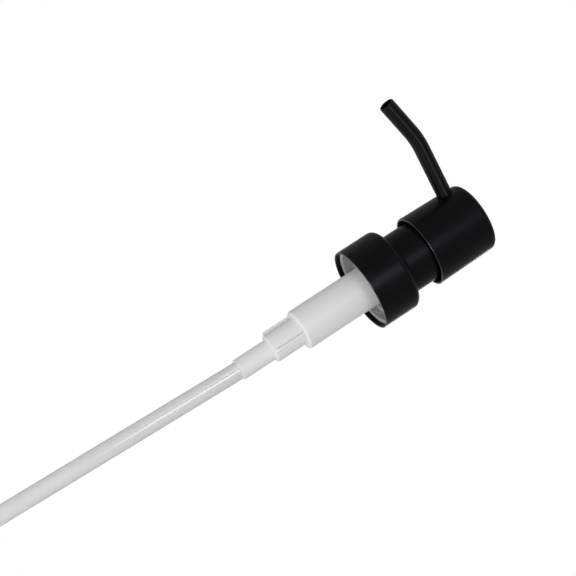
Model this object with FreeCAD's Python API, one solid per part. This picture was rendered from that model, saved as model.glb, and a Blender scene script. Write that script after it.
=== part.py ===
"""Lotion dispenser pump head for a 28-400 bottle neck, built as separate fitted pieces.

The frame: Z runs up the pump's axis, the spout points along +X, and the origin is the centre of the
neck gasket's underside, where the top of the bottle's neck seats. All sizes are in millimetres.
"""

import FreeCAD, Part
import math
import os

V = FreeCAD.Vector
UP = V(0, 0, 1)

# Clearances
RUN_FIT = 0.05  # radial gap of a piece that slides or turns in another
END_PLAY = 0.05  # gap between faces that turn against each other
SEAT_PLAY = 0.1  # gap between a resting ball and its seat

# How far the head presses down, and what is left under it at the bottom
STROKE = 10.5
PRESS_GAP = 0.5

# Black metal collar, one shell with a turret that reaches up into the press head
COLLAR_R = 16.25
COLLAR_RIM_Z = -10.6
SHOULDER_ROUND = 2.4
SHOULDER_STEP = 4.35
NECK_ROUND = 1.3  # hollow round where the turret leaves the shoulder
SHELL_WALL = 0.6
TURRET_OVERLAP = 4.0  # height of turret hidden in the head at rest
TURRET_LIP = 1.2

# Plastic screw insert inside the collar, to a 28 mm, 6 turns per inch neck
INSERT_RECESS = 1.9  # from the collar's rim up to the insert
INSERT_WEB = 2.45
INSERT_WALL = 1.65
THREAD_DEPTH = 1.15
THREAD_PITCH = 4.233
THREAD_TURNS = 1.2
THREAD_BASE = 2.4  # width of the thread's foot
THREAD_TIP = 1.0  # width of the thread's crest
THREAD_START = 1.6  # from the insert's lower edge to the middle of the thread's start

# Pump housing: cylinder, ribbed valve chamber and tube socket in one moulding
GASKET_THICK = 1.2
GASKET_EDGE_PLAY = 0.45  # from the thread's crest to the gasket and the flange
GASKET_HOLE_PLAY = 0.5
FLANGE_THICK = 1.2
HOUSING_R = 7.85
HOUSING_WALL = 1.15
HOUSING_BOTTOM_Z = -38.4
HOUSING_FLOOR = 1.3
CHAMBER_LENGTH = 12.3
CHAMBER_WALL = 1.5
CHAMBER_FLOOR = 1.6  # from the chamber's foot up to the ball seat
RIB_COUNT = 3
RIB_PROUD = 1.3
RIB_THICK = 1.0
RIB_FIRST_ANGLE = 85.7
SOCKET_LENGTH = 13.8
SOCKET_WALL = 0.69
TUBE_STOP = 1.9  # from the chamber's foot down to the dip tube's end
VENT_R = 0.5
VENT_BELOW_PLUG = 2.6
VENT_ANGLE = 249.0

# Dip tube
TUBE_R = 3.38
TUBE_WALL = 0.7
TUBE_STRAIGHT = 14.0  # from its top end to the start of its slight set
TUBE_SET_ANGLE = 1.9
TUBE_SET_RADIUS = 70.0
TUBE_SET_TOWARD = -24.0  # the way the set leans, about Z from +X
TUBE_END_LENGTH = 111.6  # straight run below the set

# Chaplet, the guide that closes the housing's mouth
CHAPLET_PLUG = 8.4  # depth of the plug below the flange's top
CHAPLET_EDGE_PLAY = 0.6  # from the turret's bore to the chaplet's flange
CHAPLET_LEDGE = 1.15  # how far its flange laps over the insert's web
CHAPLET_FLANGE = 1.3
CHAPLET_NECK_R = 7.5
CHAPLET_TOP_Z = 11.5
CHAPLET_GUIDE = 3.4
WIPER_THICK = 1.6

# Stem, its foot and the piston between them
STEM_R = 3.5
STEM_SHOULDER_STEP = 1.1
STEM_SHOULDER = 1.2
STEM_SHOULDER_PLAY = 0.6
STEM_TAIL = 3.2  # length of stem below the piston
STEM_IN_DISC = 0.5  # how far the stem reaches up into the head core's disc
PISTON_TOP_GAP = 0.2  # from the chaplet's plug to the piston
PISTON_LENGTH = 5.0
PISTON_LIP = 1.3
PISTON_LIP_STEP = 1.15
FOOT_FLANGE = 1.4
FOOT_FLANGE_PLAY = 0.6
FOOT_WALL = 0.8
FOOT_FLOOR = 1.6
FOOT_SLOT = 2.2
OUTLET_BALL_R = 2.0
OUTLET_PLAY = 0.4  # gap around the outlet ball, and the width of its seat
OUTLET_SEAT_DEPTH = 7.6  # from the stem's top down to the ball seat's foot
OUTLET_LIFT = 1.5
CAGE_NOTCH = 1.4
CAGE_CORE_R = 1.2  # left between the notches

# Return spring, inlet ball and the seat that holds both
SPRING_WIRE = 0.9
SPRING_TURNS = 7
COIL_STEPS_PER_TURN = 12  # points that lead its curve round
SPRING_SEAT_THICK = 1.4
INLET_BALL_R = 2.75
INLET_PLAY = 1.2  # gap around the inlet ball
INLET_LIFT = 1.4
SEAT_HOLE_STEP = 0.85  # how much smaller the seat's hole is than the ball
CAGE_BORE_STEP = 0.65  # how much smaller the cage's bore is than the ball
CAGE_TUBE_PLAY = 0.6
CAGE_WINDOW = 1.6

# Press head: black shell, plastic core and the spout
HEAD_WALL = 0.8
SKIRT_GAP = 1.05  # from the turret to the head's bore
HEAD_EDGE_ROUND = 2.0
HEAD_FLARE = 0.45  # how much wider the head is at its rim than at its top
HEAD_ABOVE_SPOUT = 6.9  # from the spout's axis to the head's top
CORE_GAP = 0.5  # left between the core and what it nears at full stroke
CORE_FLOOR = 0.85
CORE_ROOF = 0.5
CORE_HUB_WALL = 2.1
CORE_RIM = 1.2
CORE_RIB_COUNT = 6
CORE_RIB_THICK = 1.2
SPOUT_R = 2.95
SPOUT_WALL = 0.5
SPOUT_ROOT_X = 6.5
SPOUT_CORNER_X = 37.2  # where its two straight runs would meet
SPOUT_TIP_X = 54.7
SPOUT_DROP_ANGLE = 15.0
SPOUT_BEND_RADIUS = 32.0
SPOUT_HOLE_PLAY = 0.05
SPOUT_TIP_ROUND = 0.35
SEAL_THICK = 1.2
LINER_BORE_R = 1.5
LINER_RECESS = 3.0

# The closure, from its outside in and from the gasket up
insert_r = COLLAR_R - SHELL_WALL
turret_r = COLLAR_R - SHOULDER_STEP
turret_bore_r = turret_r - SHELL_WALL
thread_major_r = insert_r - INSERT_WALL
thread_crest_r = thread_major_r - THREAD_DEPTH
gasket_r = thread_crest_r - GASKET_EDGE_PLAY
insert_bottom_z = COLLAR_RIM_Z + INSERT_RECESS
flange_top_z = GASKET_THICK + FLANGE_THICK
web_bottom_z = flange_top_z + END_PLAY
web_top_z = web_bottom_z + INSERT_WEB
shoulder_z = web_top_z + SHELL_WALL

# The housing and the dip tube
housing_bore_r = HOUSING_R - HOUSING_WALL
cylinder_floor_z = HOUSING_BOTTOM_Z + HOUSING_FLOOR
chamber_bore_r = INLET_BALL_R + INLET_PLAY
chamber_r = chamber_bore_r + CHAMBER_WALL
chamber_bottom_z = HOUSING_BOTTOM_Z - CHAMBER_LENGTH
seat_hole_r = INLET_BALL_R - SEAT_HOLE_STEP
seat_hole_z = chamber_bottom_z + CHAMBER_FLOOR
seat_top_z = seat_hole_z + chamber_bore_r - seat_hole_r  # a 45 degree seat
rib_reach_r = chamber_r + RIB_PROUD
socket_r = TUBE_R + SOCKET_WALL
socket_bottom_z = chamber_bottom_z - SOCKET_LENGTH
tube_top_z = chamber_bottom_z - TUBE_STOP
tube_bore_r = TUBE_R - TUBE_WALL

# The chaplet, the piston, the stem and the spring
chaplet_flange_r = turret_bore_r - CHAPLET_EDGE_PLAY
chaplet_waist_r = chaplet_flange_r - CHAPLET_LEDGE
stem_shoulder_r = STEM_R + STEM_SHOULDER_STEP
chaplet_cavity_r = stem_shoulder_r + STEM_SHOULDER_PLAY
plug_bottom_z = flange_top_z - CHAPLET_PLUG
piston_top_z = plug_bottom_z - PISTON_TOP_GAP
piston_bottom_z = piston_top_z - PISTON_LENGTH
foot_top_z = piston_bottom_z - END_PLAY
foot_r = STEM_R + FOOT_WALL
stem_bottom_z = foot_top_z - STEM_TAIL
spring_top_z = foot_top_z - FOOT_FLANGE
spring_foot_z = cylinder_floor_z + SPRING_SEAT_THICK
spring_mean_r = (foot_r + housing_bore_r) / 2

# The press head, from the travel below it up
head_bottom_z = shoulder_z + STROKE + PRESS_GAP
turret_top_z = head_bottom_z + TURRET_OVERLAP
core_disc_z = turret_top_z + STROKE + CORE_GAP
core_hub_z = CHAPLET_TOP_Z + STROKE + CORE_GAP
core_hub_r = STEM_R + CORE_HUB_WALL
stem_top_z = core_disc_z + STEM_IN_DISC
spout_z = core_disc_z + CORE_FLOOR + SPOUT_R
disc_top_z = spout_z + SPOUT_R + CORE_ROOF
head_top_z = spout_z + HEAD_ABOVE_SPOUT
ceiling_z = head_top_z - HEAD_WALL
skirt_r = turret_r + SKIRT_GAP
head_r = skirt_r + HEAD_WALL
spout_bore_r = SPOUT_R - SPOUT_WALL

# The two balls, at rest just above their 45 degree seats
outlet_pocket_r = OUTLET_BALL_R + OUTLET_PLAY
stem_bore_r = OUTLET_BALL_R - OUTLET_PLAY
outlet_seat_z = stem_top_z - OUTLET_SEAT_DEPTH
inlet_ball_z = seat_hole_z - seat_hole_r + INLET_BALL_R * math.sqrt(2) + SEAT_PLAY
outlet_ball_z = outlet_seat_z - stem_bore_r + OUTLET_BALL_R * math.sqrt(2) + SEAT_PLAY


def rounded_wire(corners):
    """A closed wire in the XZ plane from (r, z) or (r, z, rounding) corners."""
    marks = []
    for i, corner in enumerate(corners):
        here = V(corner[0], 0, corner[1])
        if len(corner) == 2:
            marks.append([here])
            continue
        before = V(corners[i - 1][0], 0, corners[i - 1][1]) - here
        after_corner = corners[(i + 1) % len(corners)]
        after = V(after_corner[0], 0, after_corner[1]) - here
        before.normalize()
        after.normalize()
        half = before.getAngle(after) / 2
        inward = before + after
        inward.normalize()
        back = corner[2] / math.tan(half)
        depth = corner[2] / math.sin(half) - corner[2]
        marks.append([here + before * back, here + inward * depth, here + after * back])
    edges = []
    for i, mark in enumerate(marks):
        if len(mark) == 3:
            edges.append(Part.Arc(*mark).toShape())
        edges.append(Part.LineSegment(mark[-1], marks[(i + 1) % len(marks)][0]).toShape())
    return Part.Wire(edges)


def turned(corners):
    """A solid of revolution about Z from the corners of its half section."""
    return Part.Face(rounded_wire(corners)).revolve(V(0, 0, 0), UP, 360)


def rod(radius, low_z, high_z, x=0.0):
    """An upright cylinder between two heights."""
    return Part.makeCylinder(radius, high_z - low_z, V(x, 0, low_z), UP)


def around(shape, angle):
    """A copy of the shape turned about Z."""
    copy = shape.copy()
    copy.rotate(V(0, 0, 0), UP, angle)
    return copy


def bent_path(start, heading, toward, run, radius, angle, end_run):
    """A wire of a straight run, a tangent arc that turns toward a side, and a second run."""
    turn = math.radians(angle)
    bend = start + heading * run
    centre = bend + toward * radius

    def on_arc(part_turn):
        return centre + heading * radius * math.sin(part_turn) - toward * radius * math.cos(part_turn)

    leave = on_arc(turn)
    last = leave + (heading * math.cos(turn) + toward * math.sin(turn)) * end_run
    first_edge = Part.LineSegment(start, bend).toShape()
    arc_edge = Part.Arc(bend, on_arc(turn / 2), leave).toShape()
    return Part.Wire([first_edge, arc_edge, Part.LineSegment(leave, last).toShape()])


def piped(path, heading, radius):
    """A round rod swept along a path that starts along the heading."""
    ring = Part.Wire([Part.makeCircle(radius, path.Vertexes[0].Point, heading)])
    return path.makePipeShell([ring], True, False)


def coil(mean_radius, wire_radius, low_z, high_z, turns):
    """A round wire wound between two heights, with its ends inside them."""
    rise = high_z - low_z - 2 * wire_radius
    steps = turns * COIL_STEPS_PER_TURN
    points = []
    for i in range(steps + 1):
        angle = 2 * math.pi * i / COIL_STEPS_PER_TURN
        height = low_z + wire_radius + rise * i / steps
        points.append(V(mean_radius * math.cos(angle), mean_radius * math.sin(angle), height))
    path = Part.BSplineCurve()
    path.interpolate(points)
    section = Part.Wire([Part.makeCircle(wire_radius, points[0], V(0, 1, 0))])
    return Part.Wire([path.toShape()]).makePipeShell([section], True, True)


def collar_shell():
    inner_round = SHOULDER_ROUND - SHELL_WALL
    return turned([
        (COLLAR_R, COLLAR_RIM_Z, 0.25),
        (COLLAR_R, shoulder_z, SHOULDER_ROUND),
        (turret_r, shoulder_z, NECK_ROUND),
        (turret_r, turret_top_z, 0.5),
        (turret_r - TURRET_LIP, turret_top_z),
        (turret_r - TURRET_LIP, turret_top_z - SHELL_WALL),
        (turret_bore_r, turret_top_z - SHELL_WALL),
        (turret_bore_r, web_top_z),
        (insert_r, web_top_z, inner_round),
        (insert_r, COLLAR_RIM_Z, 0.25),
    ])


def thread_ridge():
    """The screw ridge inside the insert, with its foot sunk into the wall."""
    sunk_r = thread_major_r + 0.4
    path = Part.makeHelix(THREAD_PITCH, THREAD_PITCH * THREAD_TURNS, thread_major_r)
    section = Part.makePolygon([
        V(sunk_r, 0, -THREAD_BASE / 2),
        V(sunk_r, 0, THREAD_BASE / 2),
        V(thread_crest_r, 0, THREAD_TIP / 2),
        V(thread_crest_r, 0, -THREAD_TIP / 2),
        V(sunk_r, 0, -THREAD_BASE / 2),
    ])
    ridge = Part.Wire(path.Edges).makePipeShell([section], True, True)
    ridge.translate(V(0, 0, insert_bottom_z + THREAD_START))
    return ridge


def closure_insert():
    cup = turned([
        (insert_r, insert_bottom_z, 0.3),
        (insert_r, web_top_z, SHOULDER_ROUND - SHELL_WALL + 0.2),
        (chaplet_waist_r + RUN_FIT, web_top_z),
        (chaplet_waist_r + RUN_FIT, web_bottom_z),
        (thread_major_r, web_bottom_z),
        (thread_major_r, insert_bottom_z, 0.4),
    ])
    return cup.fuse(thread_ridge())


def neck_gasket():
    hole_r = HOUSING_R + GASKET_HOLE_PLAY
    return rod(gasket_r, 0, GASKET_THICK).cut(rod(hole_r, 0, GASKET_THICK))


def housing_rib():
    """One upright rib beside the valve chamber, with sloped ends."""
    inner_r = (chamber_r + chamber_bore_r) / 2
    outline = Part.makePolygon([
        V(inner_r, -RIB_THICK / 2, HOUSING_BOTTOM_Z + HOUSING_FLOOR / 2),
        V(rib_reach_r, -RIB_THICK / 2, HOUSING_BOTTOM_Z + HOUSING_FLOOR / 2),
        V(rib_reach_r, -RIB_THICK / 2, chamber_bottom_z + rib_reach_r - chamber_r),
        V(chamber_r, -RIB_THICK / 2, chamber_bottom_z + 0.6),
        V(inner_r, -RIB_THICK / 2, chamber_bottom_z + 0.6),
        V(inner_r, -RIB_THICK / 2, HOUSING_BOTTOM_Z + HOUSING_FLOOR / 2),
    ])
    return Part.Face(outline).extrude(V(0, RIB_THICK, 0))


def pump_housing():
    body = turned([
        (housing_bore_r, flange_top_z),
        (gasket_r, flange_top_z, 0.2),
        (gasket_r, GASKET_THICK),
        (HOUSING_R, GASKET_THICK),
        (HOUSING_R, HOUSING_BOTTOM_Z, 1.3),
        (chamber_r, HOUSING_BOTTOM_Z, 0.4),
        (chamber_r, chamber_bottom_z, 0.6),
        (socket_r, chamber_bottom_z, 0.4),
        (socket_r, socket_bottom_z, 0.2),
        (TUBE_R, socket_bottom_z),
        (TUBE_R, tube_top_z),
        (seat_hole_r, tube_top_z),
        (seat_hole_r, seat_hole_z),
        (chamber_bore_r, seat_top_z),
        (chamber_bore_r, cylinder_floor_z),
        (housing_bore_r, cylinder_floor_z),
    ])
    for i in range(RIB_COUNT):
        body = body.fuse(around(housing_rib(), RIB_FIRST_ANGLE + i * 360 / RIB_COUNT))
    vent_start = V(housing_bore_r - HOUSING_WALL, 0, plug_bottom_z - VENT_BELOW_PLUG)
    vent = Part.makeCylinder(VENT_R, 3 * HOUSING_WALL, vent_start, V(1, 0, 0))
    return body.cut(around(vent, VENT_ANGLE))


def dip_tube():
    lean = math.radians(TUBE_SET_TOWARD)
    toward = V(math.cos(lean), math.sin(lean), 0)
    top = V(0, 0, tube_top_z)
    path = bent_path(
        top, UP * -1, toward, TUBE_STRAIGHT, TUBE_SET_RADIUS, TUBE_SET_ANGLE, TUBE_END_LENGTH
    )
    return piped(path, UP, TUBE_R).cut(piped(path, UP, tube_bore_r))


def chaplet():
    flange_z = web_top_z + END_PLAY
    guide_z = CHAPLET_TOP_Z - CHAPLET_GUIDE
    plug_wall = housing_bore_r - chaplet_cavity_r
    return turned([
        (housing_bore_r, plug_bottom_z, min(0.3, plug_wall / 2)),
        (housing_bore_r, flange_top_z),
        (chaplet_waist_r, flange_top_z),
        (chaplet_waist_r, flange_z),
        (chaplet_flange_r, flange_z),
        (chaplet_flange_r, flange_z + CHAPLET_FLANGE, 0.3),
        (CHAPLET_NECK_R, flange_z + CHAPLET_FLANGE, 0.4),
        (CHAPLET_NECK_R, CHAPLET_TOP_Z, 0.5),
        (STEM_R + RUN_FIT, CHAPLET_TOP_Z, 0.4),
        (STEM_R + RUN_FIT, guide_z),
        (chaplet_cavity_r, guide_z),
        (chaplet_cavity_r, plug_bottom_z),
    ])


def stem_wiper():
    top_z = CHAPLET_TOP_Z - CHAPLET_GUIDE
    return turned([
        (STEM_R + RUN_FIT, top_z),
        (chaplet_cavity_r, top_z),
        (chaplet_cavity_r, top_z - WIPER_THICK),
        (STEM_R + RUN_FIT, top_z - WIPER_THICK, 0.5),
    ])


def stem():
    collar_z = piston_top_z + END_PLAY
    return turned([
        (stem_bore_r, stem_bottom_z),
        (STEM_R, stem_bottom_z, 0.3),
        (STEM_R, collar_z),
        (stem_shoulder_r, collar_z),
        (stem_shoulder_r, collar_z + STEM_SHOULDER, 0.3),
        (STEM_R, collar_z + STEM_SHOULDER),
        (STEM_R, stem_top_z),
        (outlet_pocket_r, stem_top_z),
        (outlet_pocket_r, outlet_seat_z + outlet_pocket_r - stem_bore_r),
        (stem_bore_r, outlet_seat_z),
    ])


def stem_foot():
    low_z = stem_bottom_z - FOOT_FLOOR
    flange_r = housing_bore_r - FOOT_FLANGE_PLAY
    cup = turned([
        (STEM_R, foot_top_z),
        (flange_r, foot_top_z, 0.2),
        (flange_r, spring_top_z, 0.2),
        (foot_r, spring_top_z),
        (foot_r, low_z, 0.5),
        (stem_bore_r, low_z),
        (stem_bore_r, stem_bottom_z),
        (STEM_R, stem_bottom_z),
    ])
    slot = Part.makeBox(2 * foot_r, FOOT_SLOT, FOOT_FLOOR / 2, V(-foot_r, -FOOT_SLOT / 2, low_z))
    return cup.cut(slot).cut(around(slot, 90))


def piston():
    lip_r = housing_bore_r - RUN_FIT
    waist_r = lip_r - PISTON_LIP_STEP
    return turned([
        (STEM_R + RUN_FIT, piston_bottom_z),
        (waist_r, piston_bottom_z),
        (waist_r, piston_bottom_z + PISTON_LIP / 2),
        (lip_r, piston_bottom_z),
        (lip_r, piston_bottom_z + PISTON_LIP, 0.2),
        (waist_r, piston_bottom_z + 2 * PISTON_LIP),
        (waist_r, piston_top_z - 2 * PISTON_LIP),
        (lip_r, piston_top_z - PISTON_LIP, 0.2),
        (lip_r, piston_top_z),
        (waist_r, piston_top_z - PISTON_LIP / 2),
        (waist_r, piston_top_z),
        (STEM_R + RUN_FIT, piston_top_z),
    ])


def return_spring():
    return coil(spring_mean_r, SPRING_WIRE / 2, spring_foot_z, spring_top_z, SPRING_TURNS)


def spring_seat():
    """A ring on the cylinder's floor with a windowed tube that stops the inlet ball."""
    cage_bore_r = INLET_BALL_R - CAGE_BORE_STEP
    cage_tube_r = chamber_bore_r - CAGE_TUBE_PLAY
    stop_z = inlet_ball_z + math.sqrt(INLET_BALL_R**2 - cage_bore_r**2) + INLET_LIFT
    ring = turned([
        (cage_bore_r, spring_foot_z, 0.3),
        (housing_bore_r, spring_foot_z, 0.3),
        (housing_bore_r, cylinder_floor_z),
        (cage_tube_r, cylinder_floor_z),
        (cage_tube_r, stop_z, 0.3),
        (cage_bore_r, stop_z),
    ])
    window_height = cylinder_floor_z - stop_z
    window_start = V(-HOUSING_R, -CAGE_WINDOW / 2, stop_z)
    window = Part.makeBox(2 * HOUSING_R, CAGE_WINDOW, window_height, window_start)
    return ring.cut(window).cut(around(window, 90))


def inlet_ball():
    return Part.makeSphere(INLET_BALL_R, V(0, 0, inlet_ball_z))


def outlet_ball():
    return Part.makeSphere(OUTLET_BALL_R, V(0, 0, outlet_ball_z))


def ball_cage():
    """A plug in the stem's mouth with notches around it that the liquid passes."""
    stop_z = outlet_ball_z + OUTLET_BALL_R + OUTLET_LIFT
    plug = rod(outlet_pocket_r, stop_z, stem_top_z)
    height = stem_top_z - stop_z
    notch = Part.makeBox(outlet_pocket_r, CAGE_NOTCH, height, V(CAGE_CORE_R, -CAGE_NOTCH / 2, stop_z))
    for quarter in range(4):
        plug = plug.cut(around(notch, 90 * quarter))
    return plug


def head_core():
    """The plastic core of the press head: hub, disc, rim, stiffening ribs and the liquid's way out."""
    rim_bore_r = skirt_r - CORE_RIM
    core = turned([
        (STEM_R, core_hub_z, 0.4),
        (core_hub_r, core_hub_z, 0.6),
        (core_hub_r, core_disc_z, 0.5),
        (skirt_r, core_disc_z, 0.3),
        (skirt_r, ceiling_z, HEAD_EDGE_ROUND / 2 + 0.1),
        (rim_bore_r, ceiling_z),
        (rim_bore_r, disc_top_z),
        (0, disc_top_z),
        (0, stem_top_z),
        (STEM_R, stem_top_z),
    ])
    rib_height = ceiling_z - disc_top_z
    rib_length = (rim_bore_r + skirt_r - HEAD_EDGE_ROUND / 2) / 2  # short of the ceiling's rounded corner
    rib = Part.makeBox(rib_length, CORE_RIB_THICK, rib_height, V(0, -CORE_RIB_THICK / 2, disc_top_z))
    for i in range(CORE_RIB_COUNT):
        core = core.fuse(around(rib, i * 360 / CORE_RIB_COUNT))
    rise = rod(outlet_pocket_r, stem_top_z, spout_z)
    way_out = Part.makeCylinder(LINER_BORE_R, SPOUT_ROOT_X, V(0, 0, spout_z), V(1, 0, 0))
    seat_x = SPOUT_ROOT_X - SEAL_THICK
    socket = Part.makeCylinder(SPOUT_R, head_r, V(seat_x, 0, spout_z), V(1, 0, 0))
    return core.cut(rise).cut(way_out).cut(socket)


def head_shell():
    shell = turned([
        (skirt_r + HEAD_FLARE, head_bottom_z, 0.25),
        (head_r + HEAD_FLARE, head_bottom_z, 0.35),
        (head_r, head_top_z, HEAD_EDGE_ROUND),
        (0, head_top_z),
        (0, ceiling_z),
        (skirt_r, ceiling_z, HEAD_EDGE_ROUND / 2),
        (skirt_r, core_disc_z),
    ])
    hole_r = SPOUT_R + SPOUT_HOLE_PLAY
    hole = Part.makeCylinder(hole_r, head_r, V(head_r / 2, 0, spout_z), V(1, 0, 0))
    return shell.cut(hole)


def spout_path(end_short=0.0):
    """The spout's centre line, drooping from the head, with its end cut back if asked."""
    drop = math.radians(SPOUT_DROP_ANGLE)
    bend_leg = SPOUT_BEND_RADIUS * math.tan(drop / 2)
    run = SPOUT_CORNER_X - SPOUT_ROOT_X - bend_leg
    end_run = (SPOUT_TIP_X - SPOUT_CORNER_X) / math.cos(drop) - bend_leg - end_short
    start = V(SPOUT_ROOT_X, 0, spout_z)
    return bent_path(start, V(1, 0, 0), UP * -1, run, SPOUT_BEND_RADIUS, SPOUT_DROP_ANGLE, end_run)


def tip_circles(shape):
    """The round edges at the spout's far end."""
    reach = shape.BoundBox.XMax - 2 * SPOUT_R * math.sin(math.radians(SPOUT_DROP_ANGLE)) - 0.1
    return [e for e in shape.Edges if e.BoundBox.XMin > reach]


def spout_tube():
    path = spout_path()
    outside = piped(path, V(1, 0, 0), SPOUT_R)
    outside = outside.makeFillet(SPOUT_TIP_ROUND, tip_circles(outside))
    return outside.cut(piped(path, V(1, 0, 0), spout_bore_r))


def spout_liner():
    path = spout_path(LINER_RECESS)
    return piped(path, V(1, 0, 0), spout_bore_r).cut(piped(path, V(1, 0, 0), LINER_BORE_R))


def spout_seal():
    start = V(SPOUT_ROOT_X - SEAL_THICK, 0, spout_z)
    ring = Part.makeCylinder(SPOUT_R, SEAL_THICK, start, V(1, 0, 0))
    return ring.cut(Part.makeCylinder(LINER_BORE_R, SEAL_THICK, start, V(1, 0, 0)))


PIECES = [
    collar_shell,
    closure_insert,
    neck_gasket,
    pump_housing,
    dip_tube,
    chaplet,
    stem_wiper,
    stem,
    stem_foot,
    piston,
    return_spring,
    spring_seat,
    inlet_ball,
    outlet_ball,
    ball_cage,
    head_core,
    head_shell,
    spout_tube,
    spout_liner,
    spout_seal,
]


def main():
    os.makedirs("parts", exist_ok=True)
    for make in PIECES:
        shape = make()
        if len(shape.Solids) != 1 or not shape.isValid():
            raise ValueError(f"{make.__name__} isn't one valid solid")
        shape.Solids[0].exportStep(f"parts/{make.__name__}.step")


main()
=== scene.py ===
"""Lotion pump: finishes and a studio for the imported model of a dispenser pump."""

import math

import bmesh
import bpy
from bpy.props import (
    FloatProperty,
    FloatVectorProperty,
    IntProperty,
    PointerProperty,
)
from mathutils import Matrix, Vector


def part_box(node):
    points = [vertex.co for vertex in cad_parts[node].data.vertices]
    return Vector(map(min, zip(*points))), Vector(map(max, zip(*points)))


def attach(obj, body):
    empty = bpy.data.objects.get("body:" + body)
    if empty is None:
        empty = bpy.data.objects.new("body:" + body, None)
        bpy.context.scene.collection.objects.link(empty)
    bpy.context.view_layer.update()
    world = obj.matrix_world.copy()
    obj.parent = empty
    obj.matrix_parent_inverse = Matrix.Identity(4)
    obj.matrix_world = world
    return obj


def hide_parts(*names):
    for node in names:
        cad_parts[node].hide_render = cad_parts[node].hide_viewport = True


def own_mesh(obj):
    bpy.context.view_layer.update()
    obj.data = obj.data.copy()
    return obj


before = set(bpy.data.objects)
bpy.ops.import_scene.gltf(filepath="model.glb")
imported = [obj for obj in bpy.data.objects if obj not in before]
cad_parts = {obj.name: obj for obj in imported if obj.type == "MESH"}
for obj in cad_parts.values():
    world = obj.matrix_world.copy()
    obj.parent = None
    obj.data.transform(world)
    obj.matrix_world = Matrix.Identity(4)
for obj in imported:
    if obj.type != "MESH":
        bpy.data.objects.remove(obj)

bl_info = {
    "name": "Lotion Pump",
    "version": (1, 0, 0),
    "blender": (4, 5, 0),
    "location": "View3D > Sidebar > Lotion Pump",
    "description": "Finishes and a studio for a dispenser pump",
    "category": "Material",
}

MM = 0.001

BLACK_SHELLS = ("collar_shell", "head_shell", "spout_tube")
HEAD_INSIDES = ("head_core", "spout_liner")
WHITE_BODY = ("pump_housing", "spring_seat", "ball_cage", "stem", "stem_foot")
CLOSURE_INSIDES = ("closure_insert",)
SOFT_WHITE = ("chaplet", "piston", "stem_wiper")
SEALS = ("neck_gasket", "spout_seal")
BALLS = ("inlet_ball", "outlet_ball")

TINT_START = 0.3  # noise value up to which a finish has its first tint
TINT_END = 0.7  # noise value from which it has its second
COAT_SHEEN = 0.11  # how strongly the black coat reflects
RUBBED_REACH = 0.3 * MM  # how far from a rim its coat is rubbed shiny
RUBBED_SHEEN = 0.45  # how much more strongly a rubbed rim reflects
RUBBED_ROUGHNESS = -0.16  # how much smoother a rubbed rim is
WIRE_STEPS = 40  # rings in one turn of the spring's wire
WIRE_SIDES = 16  # points round the wire
CLOSED_PITCH = 1.04  # rise of a closed turn, in wire thicknesses
GROUND_SHARE = 0.5  # how much of the wire's radius is left under its middle at a ground end

# The stage, in metres.
FLOOR_GAP = 0.2 * MM  # how far the floor is below the end of the dip tube
FLOOR_RADIUS = 0.8
FLOOR_SIDES = 96  # corners of the round floor
FADE_START = 0.12  # how far from its middle the floor begins to fade
FADE_END = 0.75  # how far from its middle it is gone

# The key, low, back and spout lights each face a point, and stand to a side of it.
LIGHT_REACH = 0.8  # how far out along its side each stands
COLLAR_FRONT = Vector((0.005, 0.015, 0))
KEY_SIDE = Vector((0.251, 0.963, 0.1))
LOW_SIDE = Vector((0.191, 0.742, -0.642))
BACK_SIDE = Vector((-0.5, -0.8, 0.33))
SPOUT_MIDDLE = Vector((0.035, 0, 0.035))
SPOUT_SIDE = Vector((-0.336, 0.941, 0.036))

# The tube, overhead and floor lights stand at distances of their own.
TUBE_TOP = Vector((0, 0, -0.07))
FROM_TUBE_TOP = Vector((0.492, 0.342, 0.13))
ORIGIN = Vector((0, 0, 0))
OVERHEAD = Vector((0, 0, 1.1))
ABOVE_FLOOR = Vector((0, 0, 1))


# ---------------------------------------------------------------- materials

def fill(tree, socket, value):
    """Gives an input a plain value, or links it to another node's output."""
    if isinstance(value, bpy.types.NodeSocket):
        tree.links.new(value, socket)
    else:
        socket.default_value = value


def put(tree, kind, inputs=None, **settings):
    """Adds a shader node, sets it up, and fills its inputs."""
    node = tree.nodes.new(kind)
    for name, value in settings.items():
        setattr(node, name, value)
    for name, value in (inputs or {}).items():
        fill(tree, node.inputs[name], value)
    return node


def start_material(name):
    """A new material with an empty tree, its surface shader and the part's own coordinates."""
    material = bpy.data.materials.new(name)
    material.use_nodes = True
    tree = material.node_tree
    tree.nodes.clear()
    shader = put(tree, "ShaderNodeBsdfPrincipled")
    put(tree, "ShaderNodeOutputMaterial", {"Surface": shader.outputs["BSDF"]})
    place = put(tree, "ShaderNodeTexCoord").outputs["Object"]
    return material, tree, shader, place


def grain(tree, place, size, stretch=(1, 1, 1), detail=2.0):
    """Noise from 0 to 1 whose blotches are size millimetres across, drawn out by stretch."""
    scaled = put(
        tree,
        "ShaderNodeMapping",
        {"Vector": place, "Scale": tuple(1 / s for s in stretch)},
    )
    noise = put(
        tree,
        "ShaderNodeTexNoise",
        {"Vector": scaled.outputs["Vector"], "Scale": 1 / (size * MM), "Detail": detail},
    )
    return noise.outputs["Fac"]


def between(tree, factor, low, high, start=TINT_START, end=TINT_END):
    """A value that runs from low to high as factor runs from start to end."""
    node = put(
        tree,
        "ShaderNodeMapRange",
        {"Value": factor, "From Min": start, "From Max": end, "To Min": low, "To Max": high},
    )
    return node.outputs["Result"]


def tints(tree, factor, first, second):
    """A colour between two tints."""
    ramp = put(tree, "ShaderNodeValToRGB", {"Fac": factor})
    stops = zip(ramp.color_ramp.elements, (TINT_START, TINT_END), (first, second))
    for stop, position, tint in stops:
        stop.position = position
        stop.color = (*tint, 1)
    return ramp.outputs["Color"]


def shaded(colour, share):
    """The colour, darkened or lightened to this share of itself."""
    return tuple(c * share for c in colour)


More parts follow.
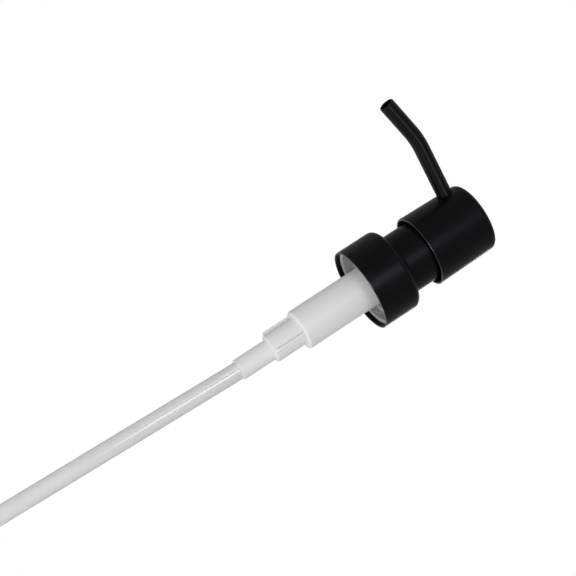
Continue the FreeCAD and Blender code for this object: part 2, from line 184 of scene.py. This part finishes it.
def relief(tree, layers):
    """Stacks bumps: each layer is a height socket, its depth in millimetres and its strength."""
    normal = None
    for height, depth, strength in layers:
        inputs = {"Height": height, "Distance": depth * MM, "Strength": strength}
        if normal is not None:
            inputs["Normal"] = normal
        normal = put(tree, "ShaderNodeBump", inputs).outputs["Normal"]
    return normal


def feed(tree, shader, **inputs):
    """Fills the surface shader's own inputs, which are named with underscores for spaces."""
    for name, value in inputs.items():
        fill(tree, shader.inputs[name.replace("_", " ")], value)


def near_heights(tree, place, heights, reach):
    """1 within reach of any of these heights, and 0 elsewhere."""
    height = put(tree, "ShaderNodeSeparateXYZ", {"Vector": place}).outputs["Z"]
    near = 0.0
    for level in heights:
        close = put(tree, "ShaderNodeMath", {0: height, 1: level, 2: reach}, operation="COMPARE")
        either = put(tree, "ShaderNodeMath", {0: close.outputs["Value"], 1: near}, operation="MAXIMUM")
        near = either.outputs["Value"]
    return near


def shift(tree, factor, change, value):
    """The value, moved by change where factor is 1."""
    moved = put(tree, "ShaderNodeMath", {0: factor, 1: change, 2: value}, operation="MULTIPLY_ADD")
    return moved.outputs["Value"]


def satin_black_coat(colour, roughness, peel, rims):
    """Baked black coat on metal: soft sheen, faint peel, a slightly cloudy gloss, and rims rubbed shiny."""
    material, tree, shader, place = start_material("satin_black_coat")
    rubbed = near_heights(tree, place, rims, RUBBED_REACH)
    clouds = grain(tree, place, 9.0)
    peel_waves = grain(tree, place, peel, detail=3.0)
    powder = grain(tree, place, 0.16)
    cloudy = between(tree, clouds, roughness - 0.025, roughness + 0.025)
    feed(
        tree,
        shader,
        Base_Color=tints(tree, clouds, shaded(colour, 0.82), shaded(colour, 1.25)),
        Roughness=shift(tree, rubbed, RUBBED_ROUGHNESS, cloudy),
        Normal=relief(tree, ((peel_waves, 0.05, 0.16), (powder, 0.02, 0.14))),
        Specular_IOR_Level=shift(tree, rubbed, RUBBED_SHEEN, COAT_SHEEN),
        Specular_Tint=(0.88, 0.86, 1.0, 1.0),
    )
    return material


def moulded_plastic(name, colour, roughness, milky):
    """Moulded resin with a fine spark-worn skin, faint flow marks and a little light under the surface."""
    material, tree, shader, place = start_material(name)
    flow = grain(tree, place, 7.0, stretch=(1, 1, 3.5), detail=3.0)
    skin = grain(tree, place, 0.12)
    waves = grain(tree, place, 2.4, stretch=(1, 1, 2))
    feed(
        tree,
        shader,
        Base_Color=tints(tree, flow, shaded(colour, 0.965), colour),
        Roughness=between(tree, flow, roughness - 0.04, roughness + 0.05),
        Normal=relief(tree, ((waves, 0.05, 0.10), (skin, 0.012, 0.12))),
        Subsurface_Weight=milky,
        Subsurface_Radius=(1.0, 0.96, 0.9),
        Subsurface_Scale=1.2 * MM,
        Specular_IOR_Level=0.35,
    )
    return material


def drawn_tube_plastic(colour, haze):
    """Hazy extruded tube: light comes through it, with drag lines along its length."""
    material, tree, shader, place = start_material("hazy_tube_plastic")
    drag = grain(tree, place, 0.5, stretch=(1, 1, 60))
    cloud = grain(tree, place, 5.0, stretch=(1, 1, 4))
    feed(
        tree,
        shader,
        Base_Color=tints(tree, cloud, shaded(colour, 0.96), colour),
        Roughness=between(tree, cloud, haze - 0.03, haze + 0.04),
        Normal=relief(tree, ((drag, 0.03, 0.12),)),
        Transmission_Weight=0.25,
        IOR=1.5,
        Specular_IOR_Level=0.5,
    )
    return material


def seal_rubber(colour):
    """Soft sealing rubber with a matt, slightly dusty skin."""
    material, tree, shader, place = start_material("soft_seal_rubber")
    dust = grain(tree, place, 1.6, detail=4.0)
    skin = grain(tree, place, 0.2)
    feed(
        tree,
        shader,
        Base_Color=tints(tree, dust, shaded(colour, 0.9), colour),
        Roughness=between(tree, dust, 0.55, 0.7),
        Normal=relief(tree, ((skin, 0.02, 0.2),)),
    )
    return material


def drawn_wire_steel():
    """Cold-drawn spring wire: bright steel with fine draw marks."""
    material, tree, shader, place = start_material("drawn_spring_wire")
    marks = grain(tree, place, 0.08)
    clouds = grain(tree, place, 2.0)
    feed(
        tree,
        shader,
        Base_Color=tints(tree, clouds, (0.50, 0.50, 0.49), (0.60, 0.60, 0.59)),
        Roughness=between(tree, clouds, 0.24, 0.34),
        Normal=relief(tree, ((marks, 0.006, 0.2),)),
        Metallic=1.0,
    )
    return material


def lapped_ball_steel():
    """Lapped stainless ball: near mirror with very fine scratches."""
    material, tree, shader, place = start_material("lapped_ball_steel")
    scratches = grain(tree, place, 0.05, detail=3.0)
    clouds = grain(tree, place, 1.5)
    feed(
        tree,
        shader,
        Base_Color=tints(tree, clouds, (0.58, 0.58, 0.58), (0.64, 0.64, 0.65)),
        Roughness=between(tree, clouds, 0.10, 0.15),
        Normal=relief(tree, ((scratches, 0.002, 0.15),)),
        Metallic=1.0,
    )
    return material


def finish_nodes(names, material):
    """Gives each of these parts the finish, in every slot it has."""
    for name in names:
        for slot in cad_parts[name].material_slots:
            slot.material = material


def bottom(name):
    """The height of a part's lowest point."""
    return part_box(name)[0][2]


# ---------------------------------------------------------------- settings

class PumpFinishSettings(bpy.types.PropertyGroup):
    """Colours and skins of the pump."""

    coat_colour: FloatVectorProperty(
        name="Coat colour",
        description="Colour of the baked black coat",
        subtype="COLOR",
        size=3,
        min=0,
        max=1,
        default=(0.0021, 0.0021, 0.0022),
    )
    coat_roughness: FloatProperty(
        name="Coat roughness",
        description="How far the coat spreads a highlight",
        subtype="FACTOR",
        min=0.05,
        max=1,
        default=0.34,
    )
    coat_peel: FloatProperty(
        name="Coat peel",
        description="Width of the coat's faint waves, in millimetres",
        min=0.1,
        max=5,
        default=0.9,
    )
    white_colour: FloatVectorProperty(
        name="White resin",
        description="Colour of the pump body's resin",
        subtype="COLOR",
        size=3,
        min=0,
        max=1,
        default=(0.625, 0.625, 0.62),
    )
    tube_colour: FloatVectorProperty(
        name="Tube resin",
        description="Colour of the dip tube's natural resin",
        subtype="COLOR",
        size=3,
        min=0,
        max=1,
        default=(0.69, 0.69, 0.695),
    )
    tube_haze: FloatProperty(
        name="Tube haze",
        description="How hazy the dip tube's surface is",
        subtype="FACTOR",
        min=0.02,
        max=1,
        default=0.15,
    )
    spring_wire: FloatProperty(
        name="Spring wire",
        description="Thickness of the return spring's wire",
        unit="LENGTH",
        min=0.0002,
        default=0.9 * MM,
    )
    spring_turns: IntProperty(
        name="Spring turns",
        description="How many turns the return spring has in all",
        min=3,
        default=8,
    )
    spring_closed_turns: IntProperty(
        name="Closed turns",
        description="How many turns are wound shut at each end of the return spring",
        min=0,
        default=1,
    )


class PumpStudioSettings(bpy.types.PropertyGroup):
    """Floor, lights and camera."""

    floor_colour: FloatVectorProperty(
        name="Floor colour",
        description="Colour of the pale floor",
        subtype="COLOR",
        size=3,
        min=0,
        max=1,
        default=(0.86, 0.86, 0.86),
    )
    room_light: FloatProperty(
        name="Room light",
        description="Strength of the even light from all round",
        min=0,
        max=5,
        default=0.45,
    )
    key_power: FloatProperty(
        name="Key light",
        description="Power of the small soft light beside the camera",
        unit="POWER",
        min=0,
        default=1.6,
    )
    low_power: FloatProperty(
        name="Low light",
        description="Power of the soft light that reaches up under the collar and the head",
        unit="POWER",
        min=0,
        default=1.9,
    )
    back_power: FloatProperty(
        name="Back light",
        description="Power of the soft light on the far side from the camera",
        unit="POWER",
        min=0,
        default=1.0,
    )
    tube_power: FloatProperty(
        name="Tube light",
        description="Power of the narrow light that draws a line down the top of the dip tube",
        unit="POWER",
        min=0,
        default=0.17,
    )
    overhead_power: FloatProperty(
        name="Overhead light",
        description="Power of the broad soft light above the floor",
        unit="POWER",
        min=0,
        default=1.6,
    )
    floor_power: FloatProperty(
        name="Floor light",
        description="Power of the light that falls on the floor alone",
        unit="POWER",
        min=0,
        default=13.0,
    )
    spout_power: FloatProperty(
        name="Spout light",
        description="Power of the light that draws a line along the spout",
        unit="POWER",
        min=0,
        default=1.1,
    )
    camera_place: FloatVectorProperty(
        name="Camera place",
        description="Where the camera stands",
        subtype="TRANSLATION",
        unit="LENGTH",
        size=3,
        default=(0.19553, 0.52086, -0.15619),
    )
    camera_aim: FloatVectorProperty(
        name="Camera aim",
        description="The point that the camera looks at",
        subtype="TRANSLATION",
        unit="LENGTH",
        size=3,
        default=(0.00973, -0.01834, -0.02966),
    )
    camera_roll: FloatProperty(
        name="Camera roll",
        description="How far the camera is turned about its own line of sight",
        subtype="ANGLE",
        default=math.radians(57.143),
    )
    camera_lens: FloatProperty(
        name="Focal length",
        description="Focal length of the camera, in millimetres",
        min=10,
        default=97.94,
    )


# ---------------------------------------------------------------- pieces

class PUMP_OT_coat_shells(bpy.types.Operator):
    """Coats the collar, the head and the spout in satin black"""

    bl_idname = "pump.coat_shells"
    bl_label = "Black shells"

    def execute(self, context):
        look = context.scene.pump_finish
        rims = [bottom(name) for name in ("collar_shell", "head_shell")]
        coat = satin_black_coat(tuple(look.coat_colour), look.coat_roughness, look.coat_peel, rims)
        finish_nodes(BLACK_SHELLS, coat)
        return {"FINISHED"}


class PUMP_OT_mould_body(bpy.types.Operator):
    """Moulds the pump body and the stem in white resin, and the insert in white resin darkened with painted
    shade
    """

    bl_idname = "pump.mould_body"
    bl_label = "White body"

    def execute(self, context):
        white = tuple(context.scene.pump_finish.white_colour)
        hard = moulded_plastic("white_moulded_resin", white, roughness=0.42, milky=0.12)
        finish_nodes(WHITE_BODY, hard)
        # The insert is white resin darkened to about half its colour: painted shade for the inside of the
        # collar.
        insert_painted_shade = moulded_plastic("closure_resin_painted_shade", shaded(white, 0.53), roughness=0.4, milky=0.1)
        finish_nodes(CLOSURE_INSIDES, insert_painted_shade)
        soft = moulded_plastic("soft_white_resin", shaded(white, 0.96), roughness=0.44, milky=0.4)
        finish_nodes(SOFT_WHITE, soft)
        return {"FINISHED"}


class PUMP_OT_mould_head_core(bpy.types.Operator):
    """Moulds the head's core and the spout's liner in black resin"""

    bl_idname = "pump.mould_head_core"
    bl_label = "Head core and liner"

    def execute(self, context):
        black = (0.012, 0.012, 0.013)
        resin = moulded_plastic("black_moulded_resin", black, roughness=0.4, milky=0)
        finish_nodes(HEAD_INSIDES, resin)
        return {"FINISHED"}


class PUMP_OT_draw_tube(bpy.types.Operator):
    """Makes the dip tube a hazy, drawn plastic"""

    bl_idname = "pump.draw_tube"
    bl_label = "Dip tube"

    def execute(self, context):
        look = context.scene.pump_finish
        finish_nodes(("dip_tube",), drawn_tube_plastic(tuple(look.tube_colour), look.tube_haze))
        return {"FINISHED"}


class PUMP_OT_fit_seals(bpy.types.Operator):
    """Makes the neck gasket and the spout seal soft rubber"""

    bl_idname = "pump.fit_seals"
    bl_label = "Seals"

    def execute(self, context):
        finish_nodes(SEALS, seal_rubber((0.55, 0.55, 0.54)))
        return {"FINISHED"}


class PUMP_OT_fit_balls(bpy.types.Operator):
    """Gives the two valve balls their lapped steel"""

    bl_idname = "pump.fit_balls"
    bl_label = "Valve balls"

    def execute(self, context):
        finish_nodes(BALLS, lapped_ball_steel())
        return {"FINISHED"}


def spring_mesh(radius, wire, foot, top, turns, closed):
    """Wire wound from foot to top, its end turns closed and ground flat, as a mesh with no stray faces."""
    wire_r = wire / 2
    low, high = foot + wire_r * GROUND_SHARE, top - wire_r * GROUND_SHARE
    closed_pitch = wire * CLOSED_PITCH
    open_turns = turns - 2 * closed
    open_pitch = (high - low - 2 * closed * closed_pitch) / open_turns
    wound = bmesh.new()
    rings = []
    steps = round(turns * WIRE_STEPS)
    for i in range(steps + 1):
        turn = turns * i / steps
        lower = min(turn, closed)
        middle = min(max(turn - closed, 0), open_turns)
        upper = max(turn - closed - open_turns, 0)
        height = low + (lower + upper) * closed_pitch + middle * open_pitch
        angle = 2 * math.pi * turn
        out = Vector((math.cos(angle), math.sin(angle), 0))
        ring = []
        for j in range(WIRE_SIDES):
            side = 2 * math.pi * j / WIRE_SIDES
            point = out * (radius + wire_r * math.cos(side))
            point.z = min(max(height + wire_r * math.sin(side), foot), top)
            ring.append(wound.verts.new(point))
        rings.append(ring)
    for near, far in zip(rings, rings[1:]):
        for j in range(WIRE_SIDES):
            k = (j + 1) % WIRE_SIDES
            wound.faces.new((near[j], near[k], far[k], far[j]))
    caps = (wound.faces.new(rings[0][::-1]), wound.faces.new(rings[-1]))
    bmesh.ops.recalc_face_normals(wound, faces=wound.faces)
    for face in wound.faces:
        face.smooth = face not in caps
    mesh = bpy.data.meshes.new("return_spring_wire")
    wound.to_mesh(mesh)
    wound.free()
    return mesh


class PUMP_OT_wind_spring(bpy.types.Operator):
    """Winds the return spring and hangs it on the housing in place of the model's own spring"""

    bl_idname = "pump.wind_spring"
    bl_label = "Return spring"

    def execute(self, context):
        look = context.scene.pump_finish
        low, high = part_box("return_spring")
        foot, top = low[2], high[2]
        radius = (high[0] - low[0]) / 2 - look.spring_wire / 2
        mesh = spring_mesh(radius, look.spring_wire, foot, top, look.spring_turns, look.spring_closed_turns)
        mesh.materials.append(drawn_wire_steel())
        spring = bpy.data.objects.new("return_spring_wire", mesh)
        context.collection.objects.link(spring)
        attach(spring, "housing")
        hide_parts("return_spring")
        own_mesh(spring)
        return {"FINISHED"}


# ---------------------------------------------------------------- stage

def pale_floor(colour, height):
    """A round floor that fades into the white room away from the pump."""
    mesh = bpy.data.meshes.new("pale_floor")
    disc = bmesh.new()
    bmesh.ops.create_circle(disc, cap_ends=True, segments=FLOOR_SIDES, radius=FLOOR_RADIUS)
    disc.to_mesh(mesh)
    disc.free()
    floor = bpy.data.objects.new("pale_floor", mesh)
    floor.location = (0, 0, height)
    bpy.context.collection.objects.link(floor)
    material, tree, shader, place = start_material("pale_floor")
    speckle = grain(tree, place, 6.0, detail=4.0)
    feed(
        tree,
        shader,
        Base_Color=tints(tree, speckle, shaded(colour, 0.985), colour),
        Roughness=0.75,
        Specular_IOR_Level=0.15,
    )
    reach = put(tree, "ShaderNodeVectorMath", {0: place}, operation="LENGTH").outputs["Value"]
    fade = between(tree, reach, 0, 1, start=FADE_START, end=FADE_END)
    clear = put(tree, "ShaderNodeBsdfTransparent")
    mix = put(tree, "ShaderNodeMixShader", {0: fade, 1: shader.outputs["BSDF"], 2: clear.outputs["BSDF"]})
    output = next(n for n in tree.nodes if n.type == "OUTPUT_MATERIAL")
    tree.links.new(mix.outputs["Shader"], output.inputs["Surface"])
    mesh.materials.append(material)
    return floor


def even_room(strength):
    """Even pale light from all round, seen as plain white."""
    world = bpy.data.worlds.new("even_room")
    world.use_nodes = True
    tree = world.node_tree
    tree.nodes.clear()
    seen = put(tree, "ShaderNodeBackground", {"Color": (1, 1, 1, 1), "Strength": 1.0})
    lit = put(tree, "ShaderNodeBackground", {"Color": (0.98, 0.99, 1.0, 1), "Strength": strength})
    path = put(tree, "ShaderNodeLightPath").outputs["Is Camera Ray"]
    rooms = {0: path, 1: lit.outputs["Background"], 2: seen.outputs["Background"]}
    mix = put(tree, "ShaderNodeMixShader", rooms)
    put(tree, "ShaderNodeOutputWorld", {"Surface": mix.outputs["Shader"]})
    bpy.context.scene.world = world


def soft_light(name, aim, offset, size, power):
    """A soft light, size wide and high, that stands at an offset from aim and faces it."""
    data = bpy.data.lights.new(name, "AREA")
    data.shape = "RECTANGLE"
    data.size, data.size_y = size
    data.energy = power
    light = bpy.data.objects.new(name, data)
    light.location = aim + offset
    light.rotation_euler = (-offset).to_track_quat("-Z", "Y").to_euler()
    bpy.context.collection.objects.link(light)
    return light


def light_only(light, lit, through_floor=False):
    """Lets a light fall on these objects alone; through the floor, only they throw shadows in it."""
    reached = bpy.data.collections.new(light.name + "_reaches")
    for thing in lit:
        reached.objects.link(thing)
    light.light_linking.receiver_collection = reached
    if through_floor:
        light.light_linking.blocker_collection = reached


def aimed_camera(place, aim, roll, lens):
    """A camera at place that looks at aim, turned about its line of sight."""
    back = (Vector(place) - Vector(aim)).normalized()
    level = Vector((0, 0, 1)).cross(back).normalized()
    upright = back.cross(level)
    right = level * math.cos(roll) + upright * math.sin(roll)
    up = upright * math.cos(roll) - level * math.sin(roll)
    data = bpy.data.cameras.new("camera")
    data.lens = lens
    data.sensor_width = 36
    data.clip_start = 0.01
    data.clip_end = 50
    camera = bpy.data.objects.new("camera", data)
    camera.matrix_world = Matrix.Translation(place) @ Matrix((right, up, back)).transposed().to_4x4()
    bpy.context.collection.objects.link(camera)
    bpy.context.scene.camera = camera


class PUMP_OT_set_stage(bpy.types.Operator):
    """Sets up the floor, the soft lights and the camera"""

    bl_idname = "pump.set_stage"
    bl_label = "Stage"

    def execute(self, context):
        studio = context.scene.pump_studio
        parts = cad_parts
        floor = pale_floor(tuple(studio.floor_colour), bottom("dip_tube") - FLOOR_GAP)
        even_room(studio.room_light)
        soft_light("key_light", COLLAR_FRONT, KEY_SIDE * LIGHT_REACH, (0.22, 0.26), studio.key_power)
        soft_light("overhead_light", ORIGIN, OVERHEAD, (1.2, 1.2), studio.overhead_power)
        floor_light = soft_light("floor_light", ORIGIN, ABOVE_FLOOR, (1.2, 1.2), studio.floor_power)
        light_only(floor_light, (floor,))
        low = LOW_SIDE * LIGHT_REACH
        low_light = soft_light("low_light", COLLAR_FRONT, low, (0.3, 0.2), studio.low_power)
        light_only(low_light, parts.values(), through_floor=True)
        soft_light("back_light", COLLAR_FRONT, BACK_SIDE * LIGHT_REACH, (0.3, 0.3), studio.back_power)
        tube_light = soft_light("tube_light", TUBE_TOP, FROM_TUBE_TOP, (0.03, 0.08), studio.tube_power)
        light_only(tube_light, (parts["dip_tube"],))
        beside = SPOUT_SIDE * LIGHT_REACH
        spout_light = soft_light("spout_light", SPOUT_MIDDLE, beside, (0.2, 0.2), studio.spout_power)
        light_only(spout_light, (parts["spout_tube"],))
        aimed_camera(studio.camera_place, studio.camera_aim, studio.camera_roll, studio.camera_lens)
        context.scene.view_settings.view_transform = "Standard"
        return {"FINISHED"}


# ---------------------------------------------------------------- add-on

OPERATORS = (
    PUMP_OT_coat_shells,
    PUMP_OT_mould_body,
    PUMP_OT_mould_head_core,
    PUMP_OT_draw_tube,
    PUMP_OT_fit_seals,
    PUMP_OT_fit_balls,
    PUMP_OT_wind_spring,
    PUMP_OT_set_stage,
)


class PUMP_PT_sidebar(bpy.types.Panel):
    """Lists the pump's settings and steps"""

    bl_idname = "PUMP_PT_sidebar"
    bl_label = "Lotion Pump"
    bl_space_type = "VIEW_3D"
    bl_region_type = "UI"
    bl_category = "Lotion Pump"

    def draw(self, context):
        layout = self.layout
        for group in (context.scene.pump_finish, context.scene.pump_studio):
            box = layout.box()
            for name in group.__annotations__:
                box.prop(group, name)
        for operator in OPERATORS:
            layout.operator(operator.bl_idname)


CLASSES = (PumpFinishSettings, PumpStudioSettings, *OPERATORS, PUMP_PT_sidebar)


def register():
    for cls in CLASSES:
        bpy.utils.register_class(cls)
    bpy.types.Scene.pump_finish = PointerProperty(type=PumpFinishSettings)
    bpy.types.Scene.pump_studio = PointerProperty(type=PumpStudioSettings)


def unregister():
    del bpy.types.Scene.pump_studio
    del bpy.types.Scene.pump_finish
    for cls in reversed(CLASSES):
        bpy.utils.unregister_class(cls)


def main():
    register()
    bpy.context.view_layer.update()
    bpy.ops.pump.coat_shells()
    bpy.ops.pump.mould_body()
    bpy.ops.pump.mould_head_core()
    bpy.ops.pump.draw_tube()
    bpy.ops.pump.fit_seals()
    bpy.ops.pump.fit_balls()
    bpy.ops.pump.wind_spring()
    bpy.ops.pump.set_stage()


if __name__ == "__main__":
    main()
